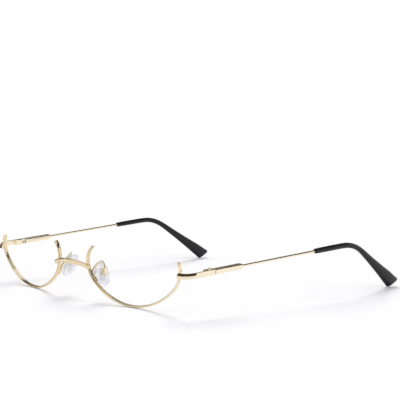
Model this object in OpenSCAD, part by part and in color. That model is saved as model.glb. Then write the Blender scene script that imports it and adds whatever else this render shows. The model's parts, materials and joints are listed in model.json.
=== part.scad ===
// Half-frame eyeglasses: two gold half rims without lenses, open at the top, on spring-hinged wire temples.
// Sizes are drawn as worn: +X is the wearer's left, +Y runs back along the temples, +Z is up.
// At the end the whole frame is tipped onto its half rims and its temple tips, as it lies on a table.

/* [Half rims] */
// Gap between the two rims at their nearest, over the nose
nose_gap = 19.5; // [17:0.5:22]
// Rim width from its lowest point to the nose side
nose_side_w = 25.5; // [23:0.5:28]
// Rim width from its lowest point to the temple side
temple_side_w = 27.5; // [25:0.5:30]
// Height from the lowest point to the widest level
rim_drop = 18.4; // [17:0.2:20]
// Radius of the rim's nose-side corner
nose_side_r = 13.5; // [11:0.5:14]
// Radius of the rim's temple-side corner
temple_side_r = 12.3; // [11:0.1:14]
// Radius on which the open ends curl inwards
curl_r = 7.6; // [7:0.2:10]
// Rise of the nose-side end above the widest level
nose_end_rise = 6.25; // [4:0.25:6.5]
// Rise of the temple-side end above the widest level
temple_end_rise = 3.6; // [3:0.2:6]
// Rim thickness, seen from the front
rim_t = 1; // [0.8:0.05:1.3]
// Rim depth, front to back
rim_d = 2; // [1.6:0.1:2.6]
// Width of the lens groove in the rim
groove_w = 0.9; // [0.6:0.05:1.1]
// Depth of the lens groove in the rim
groove_d = 0.35; // [0.2:0.05:0.4]
// Angle by which each rim wraps back towards its temple
wrap = 7.6; // [4:0.2:10]

/* [Bridge] */
// Height of the bridge bar
bridge_h = 2; // [1.5:0.1:2.6]
// Thickness of the bridge bar
bridge_t = 1; // [0.8:0.1:1.4]
// Height of the bridge feet above the bottom of the rims
bridge_z = 15.7; // [13:0.1:17]
// Rise of the bridge between its feet
bridge_rise = 2.5; // [1:0.1:4]
// Forward bow of the bridge
bridge_bow = 2.4; // [1:0.1:4]
// Length of each foot past the middle of the rim
bridge_foot = 1.3; // [1.1:0.1:3]

/* [Nose pads] */
// Height of a nose pad
pad_h = 11.8; // [11:0.2:15]
// Width of a nose pad, front to back
pad_w = 8.2; // [7:0.2:9]
// Thickness of a nose pad at its crown
pad_t = 2; // [1.8:0.1:3]
// Distance of each pad screw from the middle of the frame
pad_x = 12.8; // [11.5:0.1:14]
// Distance of each pad screw behind the rims
pad_y = 3.6; // [3.4:0.1:7]
// Height of the pad screw above the bottom of the rims
pad_z = 12.6; // [11:0.1:14]
// How much higher the wearer's right pad arm is bent, as photographed
right_pad_lift = 1.9; // [-2:0.1:2.4]
// How far the pad's middle hangs below its screw
pad_hang = 0.7; // [0:0.1:1.5]
// Lean of the pads, closer together at the top
pad_lean = 23; // [10:1:26]
// Pitch of the pads, nearer the rims at the bottom
pad_pitch = 17; // [0:1:20]
// Splay of the pads, closer together at the front
pad_splay = 4; // [0:1:15]
// Diameter of the pad arm wire
arm_d = 0.8; // [0.7:0.05:1.1]
// Length of the pad arm's foot, soldered down the back of the rim
arm_foot = 4.8; // [2:0.2:4.8]
// Height at which the pad arm leaves the rim
arm_z = 13.1; // [13:0.1:14.5]
// How far the pad arm keeps on along the rim as it sets out
arm_rise = 1.6; // [1:0.1:4]
// Rise of the pad arm's loop above the pad box
arm_loop = 8.2; // [6:0.1:9]
// Shank radius of the pad screw
pad_screw_r = 0.35; // [0.3:0.01:0.4]
// Thickness of the pad's lug
lug_t = 0.8; // [0.6:0.05:1]

/* [End pieces] */
// Height of the end piece bar
end_h = 2.4; // [2:0.1:2.8]
// Thickness of the end piece bar
end_t = 1.2; // [1:0.05:1.5]
// Distance from the rim's outer edge out to the middle of the side bar
end_out = 4.9; // [4.5:0.1:7]
// Radius of the corner, to the middle of the bar
end_r = 6; // [3:0.2:6.4]
// Height of the bevel along the upper front edge of the bar
bevel_h = 1.1; // [0.5:0.1:1.3]
// Depth of the bevel into the bar
bevel_t = 0.7; // [0.3:0.05:0.7]
// Angle through which the bevel follows the corner
bevel_turn = 75; // [10:5:80]

/* [Hinges] */
// Distance of the hinge pins behind the rims
hinge_y = 17.4; // [15:0.2:20]
// Height of the hinges and temples above the bottom of the rims
hinge_z = 16.9; // [15:0.1:18]
// Radius of the hinge knuckles
knuckle_r = 1.15; // [1:0.05:1.3]
// Thickness of the spring hinge's tongue
tongue_t = 0.8; // [0.6:0.05:1]
// Shank radius of the hinge screw
screw_r = 0.5; // [0.45:0.01:0.6]
// Radial clearance of the screw in the tongue
screw_play = 0.04; // [0.02:0.01:0.08]
// Open seam between the end piece and the spring housing
seam = 0.3; // [0.25:0.05:0.6]
// Travel of the spring that lets a temple flex outwards
flex_travel = 1.2; // [0.8:0.1:1.5]

/* [Temples] */
// Angle by which each open temple spreads outwards
splay = 2.2; // [0:0.2:4]
// Length of the spring housing
housing_l = 16; // [16:0.2:20]
// Height of the spring housing
housing_h = 2.6; // [2.5:0.1:3.2]
// Thickness of the spring housing
housing_w = 3.2; // [3.1:0.05:3.6]
// Diameter of the temple wire
wire_d = 1.2; // [1:0.05:1.4]
// Distance from the hinge pin to the start of the tip
tip_start = 65.7; // [60:0.1:75]
// Distance from the hinge pin to the start of the bend
bend_start = 85.6; // [80:0.2:95]
// Radius of the bend behind the ear
bend_r = 25.4; // [15:0.2:30]
// Angle by which the tip drops
drop_angle = 36; // [30:0.5:45]
// Angle by which the drop leans in towards the head
tuck = 11; // [0:1:15]
// Straight length after the bend
drop_l = 38.2; // [30:0.2:42]
// Thickness of the tip at its mouth
tip_d = 2.6; // [2.4:0.1:3.2]
// Width of the paddle at the end of the tip
paddle_w = 8.2; // [6:0.2:10]
// Thickness of the paddle, side to side
paddle_t = 2.9; // [2.4:0.1:3.4]
// How much shorter the paddle is at its lower edge
paddle_slant = 4.5; // [2:0.25:7]

/* [Hidden] */
$fn = 32;

gold = [0.87, 0.74, 0.47];
steel = [0.72, 0.72, 0.7];
clear_white = [0.93, 0.93, 0.96, 0.75];
black = [0.13, 0.13, 0.15];

// Radial or one-sided clearances: of a piece that slides or beds loosely, and of one that is pushed in
slip = 0.05;
press = 0.02;

// Extra length of a cut, so that it runs clear of the piece
over = 1;

// A ring is a loop of points. Rings in order make one closed skin.
// Its two ends are flat, fanned from their first point.
function ring_faces(n, m) = concat(
    [[for (j = [0:m - 1]) j]],
    [for (i = [0:n - 2], j = [0:m - 1]) each [
        [i * m + j, (i + 1) * m + j, (i + 1) * m + (j + 1) % m],
        [i * m + j, (i + 1) * m + (j + 1) % m, i * m + (j + 1) % m]
    ]],
    [[for (j = [0:m - 1]) (n - 1) * m + (m - j) % m]]
);

module skin(rings) {
    polyhedron(
        points = [for (r = rings) each r],
        faces = ring_faces(len(rings), len(rings[0])),
        convexity = 8
    );
}

function unit(v) = v / norm(v);
upright = [0, 0, 1];

// A flat section, laid square to the direction d at the point p. Its first axis b lies level.
function level_ring(p, d, section) =
    let (b = unit(cross(upright, d)), u = cross(d, b))
    [for (q = section) p + q[0] * b + q[1] * u];

// The same, with the first axis as near as it can be to a given direction.
function guided_ring(p, d, guide, section) =
    let (b = unit(guide - (guide * d) * d), u = cross(d, b))
    [for (q = section) p + q[0] * b + q[1] * u];

function round_section(r, n) = [for (i = [0:n - 1]) r * [cos(360 * i / n), sin(360 * i / n)]];

// A rectangle w by h with corners of radius r.
function soft_rect(w, h, r) = [
    for (k = [0:3], a = [0:45:90])
    let (s = [[1, 1], [-1, 1], [-1, -1], [1, -1]][k])
    [s[0] * (w / 2 - r), s[1] * (h / 2 - r)] + r * [cos(90 * k + a), sin(90 * k + a)]
];

function stations(a, b, n) = [for (i = [0:n]) a + (b - a) * i / n];

// Half rim
// Places in a rim: u towards the temple, w towards the back, z up.
rim_x = nose_gap / 2 + nose_side_w;
along_rim = [cos(wrap), sin(wrap), 0];
behind_rim = [-sin(wrap), cos(wrap), 0];
function on_rim(u, w, z) = [rim_x, 0, z] + u * along_rim + w * behind_rim;

// The bottom arc meets each corner arc smoothly, and this is its radius.
function bottom_r(side_w, side_r) =
    (side_w * side_w + rim_drop * rim_drop - 2 * side_w * side_r) / (2 * (rim_drop - side_r));
function corner_angle(side_w, side_r) =
    atan2(bottom_r(side_w, side_r) - rim_drop, side_w - side_r);

// Half width of the middle of the rim band at the height z, on the given side.
function half_width(z, side_w, side_r) =
    side_w - side_r + sqrt(max(0, side_r * side_r - pow(rim_drop + rim_t / 2 - z, 2)));

function arc_stations(c, r, a, b, n) = [for (t = stations(a, b, n)) [c + r * [cos(t), sin(t)], t]];

rim_path = let (
    rn = bottom_r(nose_side_w, nose_side_r),
    rt = bottom_r(temple_side_w, temple_side_r),
    an = corner_angle(nose_side_w, nose_side_r),
    at = corner_angle(temple_side_w, temple_side_r),
    curl_n = asin(nose_end_rise / curl_r),
    curl_t = asin(temple_end_rise / curl_r)
) concat(
    arc_stations([curl_r - nose_side_w, rim_drop], curl_r, 180 - curl_n, 180 - curl_n / 6, 5),
    arc_stations([nose_side_r - nose_side_w, rim_drop], nose_side_r, 180, 180 + an * 6 / 7, 6),
    arc_stations([0, rn], rn, 180 + an, 270 - (90 - an) / 10, 9),
    arc_stations([0, rt], rt, 270, 360 - at - (90 - at) / 10, 9),
    arc_stations([temple_side_w - temple_side_r, rim_drop], temple_side_r, 360 - at, 360 - at / 7, 6),
    arc_stations([temple_side_w - curl_r, rim_drop], curl_r, 360, 360 + curl_t, 5)
);

edge = 0.25;
crown = 0.1;
// Section of the rim: outwards from the lens, then towards the back. The groove opens on the lens side.
rim_section = let (t = rim_t / 2, d = rim_d / 2, g = groove_w / 2) [
    [t, 0], [t - crown, d - edge], [t - crown - edge, d], [edge - t, d], [-t, d - edge],
    [-t, g], [groove_d - t, g / 2], [groove_d - t, -g / 2], [-t, -g],
    [-t, edge - d], [edge - t, -d], [t - crown - edge, -d], [t - crown, edge - d]
];

module rim() {
    color(gold)
    skin([
        for (s = rim_path)
        [for (q = rim_section) on_rim(
            s[0][0] + q[0] * cos(s[1]),
            q[1],
            s[0][1] + rim_t / 2 + q[0] * sin(s[1])
        )]
    ]);
}

// Bridge, soldered to the front faces of the rims
front_of_rim = -rim_d / 2;
bridge_edge = 0.3;
bridge_u = -half_width(bridge_z, nose_side_w, nose_side_r);
foot_end = on_rim(bridge_u + bridge_foot, front_of_rim - bridge_t / 2, 0);
foot_start = on_rim(bridge_u - rim_t, front_of_rim - bridge_t / 2, 0);

function bridge_point(x) = let (
    a = abs(x),
    s = x / foot_start[0],
    bowed = foot_start[0] * tan(wrap) * (s * s - 1) / 2 - bridge_bow * pow(1 - s * s, 2),
    y = foot_start[1] + (a < foot_start[0] ? bowed : (a - foot_start[0]) * tan(wrap))
) [x, y, bridge_z + bridge_rise * (1 - pow(x / foot_end[0], 2))];

bridge_x = concat(
    [-foot_end[0]], stations(-foot_start[0] - 0.1, foot_start[0] + 0.1, 22), [foot_end[0]]
);
bridge_rings = [
    for (x = bridge_x)
    let (d = unit(bridge_point(x + 0.01) - bridge_point(x - 0.01)))
    level_ring(bridge_point(x), d, soft_rect(bridge_t, bridge_h, bridge_edge))
];

module bridge() {
    color(gold)
    skin(bridge_rings);
}

// Nose pad and its arm
// The pad frame stands at the pad screw: +X away from the nose, +Y back along the screw, +Z up the pad.
function turned(v) = let (
    y = v[1] * cos(pad_pitch) + v[2] * sin(pad_pitch),
    h = v[2] * cos(pad_pitch) - v[1] * sin(pad_pitch),
    x = v[0] * cos(pad_lean) - h * sin(pad_lean),
    z = v[0] * sin(pad_lean) + h * cos(pad_lean)
) [x * cos(pad_splay) + y * sin(pad_splay), y * cos(pad_splay) - x * sin(pad_splay), z];

module at_pad(lift) {
    translate([pad_x, pad_y, pad_z + lift])
    rotate([-pad_pitch, -pad_lean, -pad_splay])
    children();
}

// The box is a cup, open towards the nose. The lug of the pad rocks in it, with room all round.
lug_r = 0.75;
cup_wall = 0.42;
cup_gap = 0.2;
cup_room = 0.1;
cup_depth = 0.9;
cup_w = lug_t + 2 * (slip + cup_wall);
cup_h = 2 * (lug_r + cup_gap + cup_wall);
// Back face of the soft pad, and the oval core that is bedded in it
pad_back = -1.5;
core_t = 0.5;
core_r = 1.5;
core_l = 1.6;

module pad_box() {
    color(gold)
    difference() {
        translate([-cup_depth, -cup_w / 2, -cup_h / 2])
        cube([cup_depth + lug_r + cup_room + cup_wall, cup_w, cup_h]);
        translate([-cup_depth - over, -lug_t / 2 - slip, -lug_r - cup_gap])
        cube([over + cup_depth + lug_r + cup_room, lug_t + 2 * slip, 2 * (lug_r + cup_gap)]);
        rotate([90, 0, 0])
        cylinder(r = pad_screw_r + press, h = cup_w + over, center = true);
    }
}

// A slot for a screwdriver leaves half of a screw's head under it.
pad_head_r = 0.65;
pad_head_t = 0.3;
pad_slot_w = 0.18;
pad_screw_tail = 0.15;
module pad_screw() {
    color(gold)
    difference() {
        union() {
            translate([0, cup_w / 2, 0])
            rotate([90, 0, 0])
            cylinder(r = pad_screw_r, h = cup_w + pad_screw_tail);
            translate([0, cup_w / 2 + pad_head_t, 0])
            rotate([90, 0, 0])
            cylinder(r = pad_head_r, h = pad_head_t);
        }
        translate([-over, cup_w / 2 + pad_head_t / 2, -pad_slot_w / 2])
        cube([2 * over, pad_head_t, pad_slot_w]);
    }
}

// The hard core is bedded in the soft pad, and its lug is what the screw holds.
module pad_insert() {
    color(clear_white)
    difference() {
        union() {
            translate([pad_back - core_t + press, 0, -pad_hang])
            rotate([90, 0, 90])
            linear_extrude(height = core_t - press) {
                square([2 * core_r, 2 * core_l], center = true);
                translate([0, core_l])
                circle(r = core_r);
                translate([0, -core_l])
                circle(r = core_r);
            }
            translate([pad_back, -lug_t / 2, -lug_r])
            cube([-pad_back, lug_t, 2 * lug_r]);
            rotate([90, 0, 0])
            cylinder(r = lug_r, h = lug_t, center = true);
        }
        rotate([90, 0, 0])
        cylinder(r = pad_screw_r + screw_play, h = lug_t + over, center = true);
    }
}

pad_sides = 28;
pad_fuller = 0.1;
pad_edge = 0.7;
pad_bevel = 0.9;
// An oval a little fuller below than above, k of its full size.
function pad_ring(x, k) = [
    for (i = [0:pad_sides - 1])
    let (a = 360 * (i + 0.5) / pad_sides, fuller = 1 - pad_fuller * sin(a))
    [x, k * fuller * cos(a) * pad_w / 2, sin(a) * (pad_h / 2 - (1 - k) * pad_w / 2) - pad_hang]
];
function core_ring(x) = [
    for (i = [0:pad_sides - 1])
    let (a = 360 * (i + 0.5) / pad_sides)
    [x, (core_r + slip) * cos(a), (core_r + slip) * sin(a) + sign(sin(a)) * core_l - pad_hang]
];

// The face that rests on the nose is crowned, and the back holds the pocket for the core.
module nose_pad() {
    color(clear_white)
    skin(concat(
        [for (a = [10:16:90]) pad_ring(pad_back - pad_edge - (pad_t - pad_edge) * cos(a), sin(a))],
        [pad_ring(pad_back - pad_edge / 2, 1), pad_ring(pad_back, pad_bevel)],
        [core_ring(pad_back), core_ring(pad_back - core_t)]
    ));
}

function curve_at(p, t) =
    pow(1 - t, 3) * p[0] + 3 * pow(1 - t, 2) * t * p[1] + 3 * (1 - t) * t * t * p[2] + pow(t, 3) * p[3];
function slope_at(p, t) = unit(
    pow(1 - t, 2) * (p[1] - p[0]) + 2 * (1 - t) * t * (p[2] - p[1]) + t * t * (p[3] - p[2])
);

// The arm's foot lies down the back of the rim, along its nose-side corner, on a film of solder.
// Above the foot the arm loops up and back, and comes down on top of the box.
solder_film = 0.02;
arm_seat = 0.45;
function foot_place(turn) = on_rim(
    nose_side_r * (1 + cos(turn)) - nose_side_w,
    rim_d / 2 + arm_d / 2 + solder_film,
    rim_drop + rim_t / 2 + nose_side_r * sin(turn)
);
function foot_heading(turn) = sin(turn) * along_rim - cos(turn) * upright;

module pad_arm(lift) {
    turn = 180 + asin((rim_drop + rim_t / 2 - arm_z) / nose_side_r);
    foot_turn = arm_foot / nose_side_r * 180 / PI;
    start = foot_place(turn);
    end = [pad_x, pad_y, pad_z + lift] + turned([arm_seat, 0, cup_h / 2]);
    bend = [start, start + arm_rise * foot_heading(turn), end + arm_loop * turned(upright), end];
    section = round_section(arm_d / 2, 10);
    color(gold)
    skin(concat(
        [for (t = stations(turn + foot_turn, turn + foot_turn / 5, 4)) guided_ring(
            foot_place(t), foot_heading(t), [1, 0, 0], section
        )],
        [for (t = stations(0, 1, 20)) guided_ring(curve_at(bend, t), slope_at(bend, t), [1, 0, 0], section)]
    ));
}

// End piece, soldered to the front face of the rim and bent back to the hinge
bar_x = rim_x + (temple_side_w + rim_t / 2) * cos(wrap) + end_out;
bar_w = front_of_rim - end_t / 2;
corner_u = (bar_x - end_r - rim_x + (bar_w + end_r) * sin(wrap)) / cos(wrap);
corner = on_rim(corner_u, bar_w + end_r, hinge_z);
end_u = half_width(hinge_z, temple_side_w, temple_side_r);
// Step of the bar's end behind the inner edge of the rim
end_step = 0.2;
end_edge = 0.25;

// Behind the corner the bar runs straight, along the open temple, and the hinge pin stands inside it.
beside_bar = [cos(splay), -sin(splay), 0];
along_bar = [sin(splay), cos(splay), 0];
block_gap = 0.2;
pin_off = end_t / 2 + knuckle_r + block_gap;
bar_start = corner + end_r * beside_bar;
bar_run = (hinge_y - bar_start[1] - pin_off * sin(splay)) / cos(splay);
pin = bar_start + bar_run * along_bar - pin_off * beside_bar;
// Distance from the pin to the front of the spring housing
swing_gap = 0.1;
front_y = knuckle_r + swing_gap;

// Section of the bar, with a soft edge at each corner. The upper front edge is bevelled when bevelled is 1.
function bar_section(bevelled) = let (
    x = end_t / 2,
    z = end_h / 2,
    top = [bevelled * (bevel_t - end_edge) + end_edge - x, z],
    low = [-x, z - end_edge - bevelled * (bevel_h - end_edge)],
    round_middle = [-x, z] + (1 - sqrt(0.5)) * end_edge * [1, -1],
    middle = bevelled * (top + low) / 2 + (1 - bevelled) * round_middle
) [
    for (c = [[1, 1], [-1, 1], [-1, -1], [1, -1]])
    each c == [-1, 1] ? [top, middle, low] : let (
        side = [c[0] * x, c[1] * (z - end_edge)],
        level = [c[0] * (x - end_edge), c[1] * z],
        between = [c[0] * x, c[1] * z] - (1 - sqrt(0.5)) * end_edge * c
    ) c[0] * c[1] > 0 ? [side, between, level] : [level, between, side]
];

module end_piece() {
    color(gold)
    skin(concat(
        [level_ring(on_rim(end_u - rim_t / 2 + end_step, bar_w, hinge_z), along_rim, bar_section(1))],
        [for (a = stations(wrap - 90, -splay, 12)) level_ring(
            corner + end_r * [cos(a), sin(a), 0],
            [-sin(a), cos(a), 0],
            bar_section(a < wrap - 90 + bevel_turn ? 1 : 0)
        )],
        [level_ring(bar_start + (bar_run + front_y - seam) * along_bar, along_bar, bar_section(0))]
    ));
}

// Hinge
// The hinge frame stands at the pin, at mid height of the hinge, with +Y along the open temple.
block_l = 4.6;
block_slope = 1.6;
block_tail = 0.5;
block_side = 0.08;
block_back = 0.1;

module at_hinge() {
    translate(pin)
    rotate([0, 0, -splay])
    children();
}

// Two knuckles on a block that is brazed to the inner face of the end piece.
module hinge_block() {
    slot = tongue_t + 2 * slip;
    color(gold)
    difference() {
        union() {
            cylinder(r = knuckle_r, h = end_h, center = true);
            translate([0, 0, -end_h / 2])
            linear_extrude(height = end_h)
            polygon([
                [knuckle_r + block_gap, block_back],
                [knuckle_r + block_gap, -block_l],
                [knuckle_r + block_gap - block_tail, -block_l],
                [block_side - knuckle_r, block_slope - block_l],
                [block_side - knuckle_r, block_back]
            ]);
        }
        translate([-knuckle_r - over, -knuckle_r - block_gap, -slot / 2])
        cube([2 * (knuckle_r + over), 2 * knuckle_r + block_gap + over, slot]);
        cylinder(r = screw_r + press, h = end_h + over, center = true);
    }
}

head_r = 0.85;
head_t = 0.35;
screw_slot_w = 0.22;
module hinge_screw() {
    color(gold)
    difference() {
        union() {
            translate([0, 0, -end_h / 2])
            cylinder(r = screw_r, h = end_h);
            translate([0, 0, end_h / 2])
            cylinder(r = head_r, h = head_t);
        }
        translate([-over, -screw_slot_w / 2, (end_h + head_t) / 2])
        cube([2 * over, screw_slot_w, head_t]);
    }
}

// Spring hinge
// Distances run back from the hinge pin. Tongue, shank and rod are one plunger that slides in the housing.
// Closed up, the spring is as long as its turns are thick. The rest of its room is travel and preload.
shank_w = 1.2;
shank_l = 5;
bush_l = 0.8;
spring_wire_r = 0.12;
spring_turns = 7;
spring_slack = 1.9;
spring_l = 2 * spring_wire_r * (spring_turns + 1) + flex_travel + spring_slack;
stop_l = 0.9;
stop_gap = 0.08;
rod_tail = 0.15;
rod_r = 0.4;
bore_r = 0.85;
plunger_x = knuckle_r - shank_w / 2;
bush_y = front_y + shank_l;
spring_y = bush_y + bush_l;
stop_y = spring_y + spring_l;
rod_end = stop_y + stop_l + rod_tail;
head_l = 2.4;

module along_rod(y) {
    translate([plunger_x, y, 0])
    rotate([-90, 0, 0])
    children();
}

module spring_plunger() {
    color(steel)
    difference() {
        union() {
            translate([0, 0, -tongue_t / 2])
            linear_extrude(height = tongue_t) {
                circle(r = knuckle_r - slip);
                translate([plunger_x - shank_w / 2, 0])
                square([shank_w, bush_y - slip]);
            }
            along_rod(bush_y - over)
            cylinder(r = rod_r, h = rod_end - bush_y + over);
        }
        cylinder(r = screw_r + screw_play, h = tongue_t + over, center = true);
    }
}

module plunger_stop() {
    color(steel)
    along_rod(stop_y)
    difference() {
        cylinder(r = bore_r - stop_gap, h = stop_l);
        translate([0, 0, -over])
        cylinder(r = rod_r + press, h = stop_l + 2 * over);
    }
}

module spring_bush() {
    color(steel)
    along_rod(bush_y)
    difference() {
        cylinder(r = bore_r - press, h = bush_l);
        translate([0, 0, -over])
        cylinder(r = rod_r + slip, h = bush_l + 2 * over);
    }
}

module flex_spring() {
    r = bore_r - slip - spring_wire_r;
    y0 = spring_y + spring_wire_r + slip;
    y1 = stop_y - spring_wire_r - slip;
    rise = (y1 - y0) / spring_turns / 360;
    color(steel)
    translate([plunger_x, 0, 0])
    skin([
        for (a = stations(0, 360 * spring_turns, 10 * spring_turns))
        guided_ring(
            [r * cos(a), y0 + rise * a, r * sin(a)],
            unit([-r * sin(a), rise * 180 / PI, r * cos(a)]),
            [cos(a), 0, sin(a)],
            round_section(spring_wire_r, 6)
        )
    ]);
}

// A box with its long edges rounded, as a profile drawn along the temple.
module long_profile(w, h, r) {
    square([w - 2 * r, h], center = true);
    square([w, h - 2 * r], center = true);
    for (x = [-1, 1], z = [-1, 1])
    translate([x * (w / 2 - r), z * (h / 2 - r)])
    circle(r = r);
}

housing_x = pin_off + end_t / 2 - housing_w / 2;
housing_end = front_y + housing_l;
housing_edge = 0.9;
module spring_housing() {
    slot_w = shank_w + 2 * slip;
    color(gold)
    difference() {
        translate([housing_x, front_y, 0])
        rotate([-90, 0, 0])
        linear_extrude(height = housing_l)
        long_profile(housing_w, housing_h, housing_edge);
        translate([plunger_x - slot_w / 2, front_y - over, -tongue_t / 2 - slip])
        cube([slot_w, shank_l + 2 * over, tongue_t + 2 * slip]);
        along_rod(bush_y)
        cylinder(r = bore_r, h = housing_end - head_l - bush_y);
        translate([housing_x, housing_end - head_l - slip, 0])
        rotate([-90, 0, 0])
        cylinder(r = bore_r, h = head_l + over);
    }
}

// Temple
// The middle line of the temple, s along it from the hinge pin: how far it has dropped, and where it is.
bend_l = bend_r * drop_angle * PI / 180;
function dropped(s) = s < bend_start ? 0 : min(drop_angle, (s - bend_start) / bend_r * 180 / PI);
// The bend lies in a plane that leans in towards the head.
temple_fall = [-sin(tuck), 0, -cos(tuck)];
temple_side = [cos(tuck), 0, -sin(tuck)];
function temple_point(s) = let (a = dropped(s), rest = max(0, s - bend_start - bend_l))
    [housing_x, min(s, bend_start) + bend_r * sin(a) + rest * cos(a), 0]
    + (bend_r * (1 - cos(a)) + rest * sin(a)) * temple_fall;
function temple_heading(s) = [0, cos(dropped(s)), 0] + sin(dropped(s)) * temple_fall;
function temple_up(s) = [0, sin(dropped(s)), 0] - cos(dropped(s)) * temple_fall;

tip_end = bend_start + bend_l + drop_l;
wire_short = 18;
wire_end = tip_end - wire_short;
wire_sides = 14;
wire_stops = concat([tip_start], stations(bend_start, bend_start + bend_l, 7), [wire_end]);
function wire_ring(s, r) =
    guided_ring(temple_point(s), temple_heading(s), temple_side, round_section(r, wire_sides));

function reversed(ring) = [for (i = [0:len(ring) - 1]) ring[(len(ring) - i) % len(ring)]];

// The front of the wire is upset into a head that closes the housing.
module temple_wire() {
    color(gold)
    skin(concat(
        [wire_ring(housing_end - head_l, bore_r - press), wire_ring(housing_end - 0.1, bore_r - press)],
        [wire_ring(housing_end, wire_d / 2)],
        [for (s = wire_stops) wire_ring(s, wire_d / 2)]
    ));
}

// Tip: two rails, above and below the wire, spread from the mouth to the paddle.
flare_start = bend_start + 10.6;
flare_curve = 1.55;
side_curve = 0.8;
edge_curve = 0.9;
function flare(s) = pow(max(0, s - flare_start) / (tip_end - flare_start), flare_curve);
function tip_ring(s, inset, side_inset) = let (
    k = flare(s),
    lag = paddle_slant * k * k,
    half = (tip_d + (paddle_w - tip_d) * k) / 2 - inset,
    upper = temple_point(s) + half * temple_up(s),
    lower = temple_point(s - lag) - half * temple_up(s),
    side = (tip_d + (paddle_t - tip_d) * k) / 2 - side_inset,
    middle = (upper + lower) / 2
) [
    for (i = [0:wire_sides - 1])
    let (a = 360 * i / wire_sides, c = cos(a), q = sin(a))
    middle
        + sign(c) * pow(abs(c), side_curve) * side * temple_side
        + sign(q) * pow(abs(q), edge_curve) * (upper - lower) / 2
];

// The skin starts at the rounded end, runs forward to the mouth and turns in to line the wire's bore.
end_round = 1.9;
end_inset = 0.95;
end_side_inset = 0.45;
mouth_edge = 0.3;
tip_stops = concat([bend_start - 3], stations(bend_start + 2, tip_end - end_round, 15));
tip_skin = concat(
    [
        for (a = [80, 65, 48, 32, 16])
        let (r = end_round * (1 - cos(a)))
        tip_ring(tip_end - end_round * (1 - sin(a)), end_inset * r, end_side_inset * r)
    ],
    [for (i = [len(tip_stops) - 1:-1:0]) tip_ring(tip_stops[i], 0, 0)],
    [tip_ring(tip_start + mouth_edge, 0, 0), tip_ring(tip_start, mouth_edge, mouth_edge)],
    [for (s = wire_stops) reversed(wire_ring(s + (s == wire_end ? slip : 0), wire_d / 2 + slip))]
);

module temple_tip() {
    color(black)
    skin(tip_skin);
}

// Laying the frame down
// The tips reach below the rims, so the frame tips forward until rims and tips stand on one floor.
tip_places = [for (r = tip_skin, p = r) pin + p[0] * beside_bar + p[1] * along_bar + [0, 0, p[2]]];
tilt = max([for (p = tip_places) atan2(-p[2], p[1])]);
rear_y = max([for (p = tip_places) p[1] * cos(tilt) - p[2] * sin(tilt)]);
nose_y = min([for (r = bridge_rings, p = r) p[1] * cos(tilt) - p[2] * sin(tilt)]);

module laid() {
    translate([0, -(rear_y + nose_y) / 2, 0])
    rotate([tilt, 0, 0])
    children();
}

module left() {
    laid()
    children();
}

module right() {
    laid()
    mirror([1, 0, 0])
    children();
}

laid() bridge();

left() rim();  // left_rim
left() pad_arm(0);  // left_pad_arm
left() at_pad(0) pad_box();  // left_pad_box
left() at_pad(0) pad_screw();  // left_pad_screw
left() at_pad(0) nose_pad();  // left_nose_pad
left() at_pad(0) pad_insert();  // left_pad_insert
left() end_piece();  // left_end_piece
left() at_hinge() hinge_block();  // left_hinge_block
left() at_hinge() hinge_screw();  // left_hinge_screw
left() at_hinge() spring_plunger();  // left_spring_plunger
left() at_hinge() plunger_stop();  // left_plunger_stop
left() at_hinge() flex_spring();  // left_flex_spring
left() at_hinge() spring_bush();  // left_spring_bush
left() at_hinge() spring_housing();  // left_spring_housing
left() at_hinge() temple_wire();  // left_temple_wire
left() at_hinge() temple_tip();  // left_temple_tip

right() rim();  // right_rim
right() pad_arm(right_pad_lift);  // right_pad_arm
right() at_pad(right_pad_lift) pad_box();  // right_pad_box
right() at_pad(right_pad_lift) pad_screw();  // right_pad_screw
right() at_pad(right_pad_lift) nose_pad();  // right_nose_pad
right() at_pad(right_pad_lift) pad_insert();  // right_pad_insert
right() end_piece();  // right_end_piece
right() at_hinge() hinge_block();  // right_hinge_block
right() at_hinge() hinge_screw();  // right_hinge_screw
right() at_hinge() spring_plunger();  // right_spring_plunger
right() at_hinge() plunger_stop();  // right_plunger_stop
right() at_hinge() flex_spring();  // right_flex_spring
right() at_hinge() spring_bush();  // right_spring_bush
right() at_hinge() spring_housing();  // right_spring_housing
right() at_hinge() temple_wire();  // right_temple_wire
right() at_hinge() temple_tip();  // right_temple_tip
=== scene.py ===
import json
import math

import bmesh
import bpy
from mathutils import Matrix, Vector


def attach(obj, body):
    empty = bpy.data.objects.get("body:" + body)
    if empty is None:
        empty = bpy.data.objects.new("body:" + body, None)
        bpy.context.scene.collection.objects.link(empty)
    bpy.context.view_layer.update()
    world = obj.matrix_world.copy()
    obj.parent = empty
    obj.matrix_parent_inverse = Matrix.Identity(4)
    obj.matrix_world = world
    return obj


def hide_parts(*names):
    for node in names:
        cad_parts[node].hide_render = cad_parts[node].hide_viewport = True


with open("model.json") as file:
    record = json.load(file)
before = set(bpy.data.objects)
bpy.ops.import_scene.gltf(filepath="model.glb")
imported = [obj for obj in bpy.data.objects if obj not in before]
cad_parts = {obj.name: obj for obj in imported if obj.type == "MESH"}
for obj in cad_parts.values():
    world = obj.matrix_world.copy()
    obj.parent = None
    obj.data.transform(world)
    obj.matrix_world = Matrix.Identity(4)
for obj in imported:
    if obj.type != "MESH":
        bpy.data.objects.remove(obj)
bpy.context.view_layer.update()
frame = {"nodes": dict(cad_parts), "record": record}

MM = 0.001
SIDES = ("left", "right")
PICTURE_WIDTH = 400  # pixels

# The gold is painted paler from the rims to the side bars, between these two places along Y. This is painted
# light, standing in for the brighter light on the side bars.
RIM_Y, SIDE_BAR_Y = -76 * MM, -62 * MM

# Modifiers
SMOOTHING_LEVELS = 2
EDGE_SEGMENTS = 2

# Dark cloth round the studio: how far off it hangs, and into how many faces it is divided up and round
CLOTH_DISTANCE = 3
CLOTH_ROWS, CLOTH_STEPS = 8, 36

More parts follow.
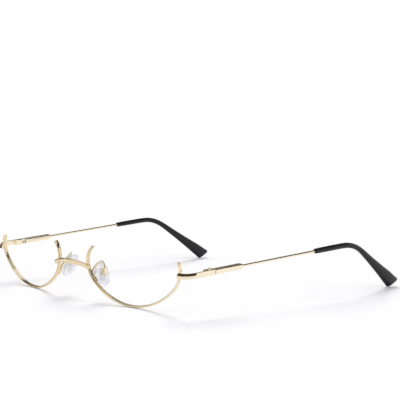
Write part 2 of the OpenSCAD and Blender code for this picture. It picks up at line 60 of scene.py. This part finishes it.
# A Mix node's colour sockets have the names of its other sockets, so they go by number.
MIX_FACTOR, MIX_LOW, MIX_HIGH, MIX_RESULT = 0, 6, 7, 2


# Shader sockets as numbers
class Value:
    """One output socket, with the sums that the finishes need."""

    def __init__(self, nodes, socket):
        self.nodes = nodes
        self.socket = socket

    def calc(self, operation, other):
        return self.nodes.node("ShaderNodeMath", {"operation": operation}, {0: self, 1: other})["Value"]

    def __add__(self, other):
        return self.calc("ADD", other)

    def __mul__(self, other):
        return self.calc("MULTIPLY", other)

    __radd__ = __add__
    __rmul__ = __mul__

    def clamp(self):
        return self.calc("MAXIMUM", 0).calc("MINIMUM", 1)

    def between(self, low, high):
        """0 below low, 1 above high and a smooth step between."""
        return self.nodes.node(
            "ShaderNodeMapRange",
            {"interpolation_type": "SMOOTHSTEP"},
            {"Value": self, "From Min": low, "From Max": high},
        )["Result"]


class Outputs:
    """The outputs of a node, by name or number."""

    def __init__(self, nodes, made):
        self.nodes = nodes
        self.made = made

    def __getitem__(self, key):
        return Value(self.nodes, self.made.outputs[key])


class Nodes:
    """A node tree that is built from expressions."""

    def __init__(self, tree):
        self.tree = tree

    def node(self, kind, settings, values):
        """Makes a node from its type, its settings, and the values or links of its sockets."""
        made = self.tree.nodes.new(kind)
        for key, setting in settings.items():
            setattr(made, key, setting)
        for key, value in values.items():
            self.feed(made.inputs[key], value)
        return Outputs(self, made)

    def feed(self, socket, value):
        if isinstance(value, Value):
            self.tree.links.new(value.socket, socket)
        elif socket.type == "RGBA":
            socket.default_value = (*value, 1)
        else:
            socket.default_value = value

    def mix(self, factor, low, high):
        """A colour from low to high."""
        values = {MIX_FACTOR: factor, MIX_LOW: low, MIX_HIGH: high}
        return self.node("ShaderNodeMix", {"data_type": "RGBA"}, values)[MIX_RESULT]


class Finish(Nodes):
    """A material with one Principled shader."""

    def __init__(self, name):
        self.material = bpy.data.materials.new(name)
        self.material.use_nodes = True
        super().__init__(self.material.node_tree)
        self.shader = self.tree.nodes["Principled BSDF"]
        self.place = self.node("ShaderNodeTexCoord", {}, {})["Object"]

    def set(self, **inputs):
        """Feeds the shader and gives the material. A name's underscores stand for spaces."""
        for name, value in inputs.items():
            self.feed(self.shader.inputs[name.replace("_", " ")], value)
        return self.material

    def noise(self, size, detail=2, stretch=(1, 1, 1), roughness=0.5):
        """Noise from 0 to 1, with grains of the given size. A stretch below 1 lengthens them that way."""
        spread = [s / size for s in stretch]
        at = self.node("ShaderNodeMapping", {}, {"Vector": self.place, "Scale": spread})["Vector"]
        values = {"Vector": at, "Scale": 1, "Detail": detail, "Roughness": roughness}
        return self.node("ShaderNodeTexNoise", {}, values)["Fac"]

    def bump(self, height, depth):
        """A normal from a height of 0 to 1. The depth between them is in metres."""
        values = {"Height": height, "Strength": 1, "Distance": depth}
        return self.node("ShaderNodeBump", {}, values)["Normal"]


# Finishes
def plated_gold(name, haze, tints):
    """Polished gold plating: clouds of tint and polish, fine lines along the wire, and painted light that
    makes it paler behind the front.
    """
    finish = Finish(name)
    clouds = finish.noise(6 * MM, detail=3)
    wire_lines = finish.noise(0.16 * MM, stretch=(1, 0.03, 1))
    specks = finish.noise(0.5 * MM, detail=4).between(0.62, 0.75)
    along = finish.node("ShaderNodeSeparateXYZ", {}, {"Vector": finish.place})["Y"]
    # Painted light: the gold behind the front is painted paler, for the brighter light that falls on the side
    # bars.
    painted_light_behind_front = along.between(RIM_Y, SIDE_BAR_Y)
    return finish.set(
        Base_Color=finish.mix((clouds * 0.35 + painted_light_behind_front * 0.65).clamp(), *tints),
        Metallic=1.0,
        Roughness=clouds * 0.03 + wire_lines * 0.02 + specks * 0.04 + haze,
        Normal=finish.bump(wire_lines, 0.00015 * MM),
    )


def turned_steel(name):
    """Plain steel of the inner mechanism, with turning marks."""
    finish = Finish(name)
    marks = finish.noise(0.12 * MM, stretch=(1, 1, 0.2))
    film = finish.noise(1.5 * MM, detail=3)
    return finish.set(
        Base_Color=finish.mix(film, (0.46, 0.45, 0.43), (0.62, 0.61, 0.59)),
        Metallic=1.0,
        Roughness=marks * 0.16 + film * 0.1 + 0.2,
        Normal=finish.bump(marks, 0.004 * MM),
    )


def milky_silicone(name):
    """Soft, milky nose pad: slightly clouded, with a satin skin."""
    finish = Finish(name)
    clouds = finish.noise(2.5 * MM, detail=3)
    skin = finish.noise(0.25 * MM, detail=3)
    return finish.set(
        Base_Color=finish.mix(clouds, (0.965, 0.965, 0.99), (0.99, 0.99, 1.0)),
        Roughness=skin * 0.12 + clouds * 0.08 + 0.24,
        Normal=finish.bump(skin, 0.004 * MM),
        Transmission_Weight=0.68,
        IOR=1.3,
        Subsurface_Weight=0.15,
        Subsurface_Radius=(1.2, 1.1, 1.3),
        Subsurface_Scale=1 * MM,
    )


def clear_core(name):
    """Hard clear plastic of the pad's core."""
    finish = Finish(name)
    flow = finish.noise(0.8 * MM, stretch=(1, 1, 0.3))
    return finish.set(
        Base_Color=finish.mix(flow, (0.93, 0.93, 0.94), (0.98, 0.98, 0.98)),
        Roughness=flow * 0.1 + 0.1,
        Normal=finish.bump(flow, 0.006 * MM),
        Transmission_Weight=0.8,
        IOR=1.12,
    )


def dark_acetate(name):
    """Near-black moulded tip, satin from tumbling, with a faint grain and paler rubbed clouds."""
    finish = Finish(name)
    clouds = finish.noise(7 * MM, detail=4)
    grain = finish.noise(0.22 * MM, detail=3, roughness=0.6)
    rubbed = finish.noise(1.4 * MM, detail=5, stretch=(1, 0.35, 1)).between(0.5, 0.75)
    return finish.set(
        Base_Color=finish.mix(clouds * 0.5 + rubbed * 0.5, (0.004, 0.004, 0.005), (0.013, 0.013, 0.016)),
        Roughness=grain * 0.12 + rubbed * 0.08 + 0.2,
        Normal=finish.bump(grain * 0.7 + clouds * 0.3, 0.012 * MM),
        Specular_IOR_Level=0.25,
    )


def white_paper(name):
    """Matt white paper of the table top."""
    finish = Finish(name)
    fibre = finish.noise(1.2 * MM, detail=3)
    return finish.set(
        Base_Color=finish.mix(fibre, (0.98, 0.98, 0.98), (0.995, 0.995, 0.995)),
        Roughness=0.9,
        Specular_IOR_Level=0,
    )


def felt(name, tints):
    """Dull cloth round the studio."""
    finish = Finish(name)
    weave = finish.noise(4 * MM)
    return finish.set(Base_Color=finish.mix(weave, *tints), Roughness=0.95)


FINISHES = {
    # Each gold runs from the rims' gold to the paler gold that is painted on the side bars as painted light.
    "gold_metal": plated_gold("pale_gold_plating", haze=0.06, tints=((0.75, 0.60, 0.36), (0.99, 0.89, 0.70))),
    "screw_gold": plated_gold("turned_gold_screw", haze=0.1, tints=((0.80, 0.67, 0.44), (0.98, 0.90, 0.73))),
    "spring_steel": turned_steel("turned_spring_steel"),
    "pad_silicone": milky_silicone("milky_pad_silicone"),
    "core_plastic": clear_core("clear_pad_core"),
    "tip_plastic": dark_acetate("dark_tip_acetate"),
}
TABLE_PAPER = white_paper("white_table_paper")
BLACK_FELT = felt("black_felt", tints=((0.04, 0.03, 0.02), (0.07, 0.055, 0.035)))
BROWN_FELT = felt("brown_felt", tints=((0.18, 0.16, 0.13), (0.22, 0.20, 0.17)))

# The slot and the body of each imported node
SLOTS = {part["node"]: part["material_slot"] for part in frame["record"]["subparts"]}
BODIES = {node: body for body, nodes in frame["record"]["behaviour"]["bodies"].items() for node in nodes}


# Pieces
def object_from(bm, name, finish):
    """An object of one finish from a bmesh, which is used up."""
    mesh = bpy.data.meshes.new(name)
    bm.to_mesh(mesh)
    bm.free()
    mesh.materials.append(finish)
    thing = bpy.data.objects.new(name, mesh)
    bpy.context.scene.collection.objects.link(thing)
    return thing


def welded(node, flat):
    """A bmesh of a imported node: its loose triangles are joined into whole flat faces, or else into quads."""
    bm = bmesh.new()
    bm.from_mesh(frame["nodes"][node].data)
    bmesh.ops.remove_doubles(bm, verts=bm.verts, dist=0.002 * MM)
    if flat:
        bmesh.ops.dissolve_limit(bm, angle_limit=math.radians(0.4), verts=bm.verts, edges=bm.edges)
    else:
        bend, shape = math.radians(12), math.radians(70)
        bmesh.ops.join_triangles(bm, faces=bm.faces, angle_face_threshold=bend, angle_shape_threshold=shape)
    return bm


def seat(bm, name, node):
    """Makes a piece from a bmesh: it takes the place, body, slot and finish of the node that it replaces."""
    for face in bm.faces:
        face.smooth = True
    piece = object_from(bm, name, FINISHES[SLOTS[node]])
    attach(piece, BODIES[node])
    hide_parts(node)
    return piece


def modifier(piece, kind, **settings):
    """Gives a piece a modifier with these settings."""
    made = piece.modifiers.new(kind.lower(), kind)
    for key, value in settings.items():
        setattr(made, key, value)


def smooth_surface(piece):
    """Rounds a piece between its creases."""
    modifier(piece, "SUBSURF", levels=SMOOTHING_LEVELS, render_levels=SMOOTHING_LEVELS)


def ease_edges(piece, width, edge_angle):
    """Eases the edges that turn by more than the angle, in degrees, and shades flat faces flat."""
    if width:
        sharp = {"limit_method": "ANGLE", "angle_limit": math.radians(edge_angle)}
        modifier(piece, "BEVEL", width=width, segments=EDGE_SEGMENTS, **sharp)
    modifier(piece, "WEIGHTED_NORMAL", keep_sharp=True)


def drawn(node, edge_width, edge_angle=52):
    """A swept piece: smooth along its length, with its long edges kept and eased."""
    bm = welded(node, flat=False)
    crease = bm.edges.layers.float.new("crease_edge")
    for edge in bm.edges:
        if edge.is_manifold and edge.calc_face_angle(0) > math.radians(edge_angle):
            edge[crease] = 1
    piece = seat(bm, node + "_drawn", node)
    smooth_surface(piece)
    ease_edges(piece, edge_width, edge_angle)
    return piece


def moulded_tip(node, edge_width, end_length):
    """A tip: drawn, with its broad end worn round at the upper corner and a little at the lower one."""
    piece = drawn(node, edge_width)
    bm = bmesh.new()
    bm.from_mesh(piece.data)
    back = max(v.co.y for v in bm.verts)
    foot = min(v.co.z for v in bm.verts)
    upper_corner = [v for v in bm.verts if v.co.y > back - end_length]
    lower_corner = [v for v in bm.verts if v.co.z < foot + 0.6 * end_length]
    for corner, passes in ((upper_corner, 4), (lower_corner, 1)):
        for _ in range(passes):
            bmesh.ops.smooth_vert(
                bm, verts=corner, factor=0.5, use_axis_x=True, use_axis_y=True, use_axis_z=True
            )
    bm.to_mesh(piece.data)
    bm.free()


def machined(node, edge_width):
    """A piece with flat faces and true bores: its edges are eased."""
    piece = seat(welded(node, flat=True), node + "_eased", node)
    ease_edges(piece, edge_width, edge_angle=30)


def nose_pad(side):
    """The soft pad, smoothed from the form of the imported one."""
    node = side + "_nose_pad"
    piece = seat(welded(node, flat=False), side + "_pad_cushion", node)
    smooth_surface(piece)


drawn("bridge", edge_width=0.08 * MM)
for side in SIDES:
    drawn(side + "_rim", edge_width=0.05 * MM)
    drawn(side + "_pad_arm", edge_width=0)
    drawn(side + "_end_piece", edge_width=0.06 * MM, edge_angle=30)
    drawn(side + "_temple_wire", edge_width=0)
    moulded_tip(side + "_temple_tip", edge_width=0.12 * MM, end_length=5 * MM)
    machined(side + "_pad_box", edge_width=0.06 * MM)
    machined(side + "_pad_screw", edge_width=0.04 * MM)
    machined(side + "_pad_insert", edge_width=0.05 * MM)
    machined(side + "_hinge_block", edge_width=0.08 * MM)
    machined(side + "_hinge_screw", edge_width=0.05 * MM)
    machined(side + "_spring_housing", edge_width=0.1 * MM)
    machined(side + "_spring_plunger", edge_width=0.05 * MM)
    nose_pad(side)

# The inner parts of the spring hinges keep their packed form.
for side in SIDES:
    for kind in ("flex_spring", "spring_bush", "plunger_stop"):
        node = side + "_" + kind
        for slot in frame["nodes"][node].material_slots:
            slot.material = FINISHES[SLOTS[node]]


# Table, light and camera
def table(width):
    """A white table top, far wider than the view."""
    bm = bmesh.new()
    bmesh.ops.create_grid(bm, x_segments=1, y_segments=1, size=width / 2)
    object_from(bm, "table", TABLE_PAPER)


def mirrored_only(bm, name, finish):
    """A cloth, made from a bmesh, that only polish mirrors. It is in no picture and casts no shadow."""
    cloth = object_from(bm, name, finish)
    for ray in ("camera", "diffuse", "transmission", "shadow", "volume_scatter"):
        setattr(cloth, "visible_" + ray, False)


def dark_mat(name, finish, middle, size):
    """A dark mat that lies on the table beside the frame. Its middle and size are in metres."""
    thickness = 0.2 * MM
    bm = bmesh.new()
    bmesh.ops.create_grid(bm, x_segments=1, y_segments=1, size=0.5)
    bmesh.ops.scale(bm, vec=(*size, 1), verts=bm.verts)
    bmesh.ops.translate(bm, vec=(*middle, thickness), verts=bm.verts)
    mirrored_only(bm, name, finish)


def dark_cloth(name, finish, azimuths, elevations):
    """Dark cloth hung far round the table, between two azimuths and between two elevations.

    They are in degrees, and an azimuth counts from +X towards +Y.
    """
    azimuth = math.radians(azimuths[0])
    low, high = (math.radians(v) for v in elevations)
    bm = bmesh.new()
    hem = []
    for i in range(CLOTH_ROWS + 1):
        elevation = low + (high - low) * i / CLOTH_ROWS
        out, up = CLOTH_DISTANCE * math.cos(elevation), CLOTH_DISTANCE * math.sin(elevation)
        hem.append(bm.verts.new((out * math.cos(azimuth), out * math.sin(azimuth), up)))
    edges = [bm.edges.new(pair) for pair in zip(hem, hem[1:])]
    bmesh.ops.spin(
        bm, geom=hem + edges, cent=(0, 0, 0), axis=(0, 0, 1), dvec=(0, 0, 0),
        angle=math.radians(azimuths[1] - azimuths[0]), steps=CLOTH_STEPS, use_merge=False,
    )
    mirrored_only(bm, name, finish)


def far_lamp(name, direction, spread, level, tint):
    """A large round lamp, far off in the given direction, that lights the whole table evenly.

    Its spread is in degrees. Polish doesn't mirror it.
    """
    light = bpy.data.lights.new(name, "SUN")
    light.angle = math.radians(spread)
    light.energy = level * math.pi
    light.color = tint
    lamp = bpy.data.objects.new(name, light)
    bpy.context.scene.collection.objects.link(lamp)
    lamp.rotation_euler = Vector(direction).to_track_quat("Z", "Y").to_euler()
    lamp.visible_glossy = False


def white_room(fill):
    """The world lights in the colour of fill, and is plain white where it is seen or mirrored."""
    world = bpy.data.worlds.new("white_room")
    bpy.context.scene.world = world
    world.use_nodes = True
    nodes = Nodes(world.node_tree)
    ray = nodes.node("ShaderNodeLightPath", {}, {})
    seen = (ray["Is Camera Ray"] + ray["Is Glossy Ray"] + ray["Is Transmission Ray"]).clamp()
    backdrop = nodes.tree.nodes["Background"]
    nodes.feed(backdrop.inputs["Color"], nodes.mix(seen, fill, (1, 1, 1)))


def camera(place, azimuth, elevation, roll, focal_pixels):
    """A camera at a place in millimetres, which looks at the frame from that azimuth and elevation.

    An azimuth of 0 looks along +Y. The angles are in degrees.
    """
    a, e, r = (math.radians(v) for v in (azimuth, elevation, roll))
    back = Vector((math.sin(a) * math.cos(e), -math.cos(a) * math.cos(e), math.sin(e)))
    level = Vector((math.cos(a), math.sin(a), 0))
    upright = back.cross(level)
    across = level * math.cos(r) + upright * math.sin(r)
    up = upright * math.cos(r) - level * math.sin(r)
    turn = Matrix((across, up, back)).transposed().to_4x4()
    data = bpy.data.cameras.new("camera")
    data.lens = focal_pixels * data.sensor_width / PICTURE_WIDTH
    data.clip_start = 10 * MM
    viewer = bpy.data.objects.new("camera", data)
    bpy.context.scene.collection.objects.link(viewer)
    viewer.matrix_world = Matrix.Translation(Vector(place) * MM) @ turn
    bpy.context.scene.camera = viewer


table(width=8)

# What gives the polish its dark lines
dark_mat("dark_left_mat", BLACK_FELT, middle=(-0.34, -0.08), size=(0.44, 0.16))
dark_cloth("dark_front_ceiling", BLACK_FELT, azimuths=(150, 382), elevations=(35, 59))
dark_cloth("dark_right_ceiling", BLACK_FELT, azimuths=(15, 52), elevations=(45.5, 68))
dark_cloth("dark_far_ceiling", BLACK_FELT, azimuths=(52, 108), elevations=(40, 71))
dark_cloth("dark_far_corner", BLACK_FELT, azimuths=(84, 124), elevations=(24, 46))
dark_cloth("dark_far_wall", BROWN_FELT, azimuths=(120, 215), elevations=(0, 46))
dark_cloth("dark_right_wall", BLACK_FELT, azimuths=(44, 62), elevations=(18, 40))
dark_cloth("dark_behind_camera", BLACK_FELT, azimuths=(-72, -24), elevations=(5, 26))

far_lamp("softbox", direction=(-0.6, 0.6, 0.66), spread=28, level=0.57, tint=(1.0, 1.0, 0.93))
white_room(fill=(0.665, 0.66, 0.705))
camera(place=(424.62, -419.59, 90.22), azimuth=44.995, elevation=4.631, roll=1.375, focal_pixels=1205.6)
bpy.context.scene.view_settings.view_transform = "Standard"
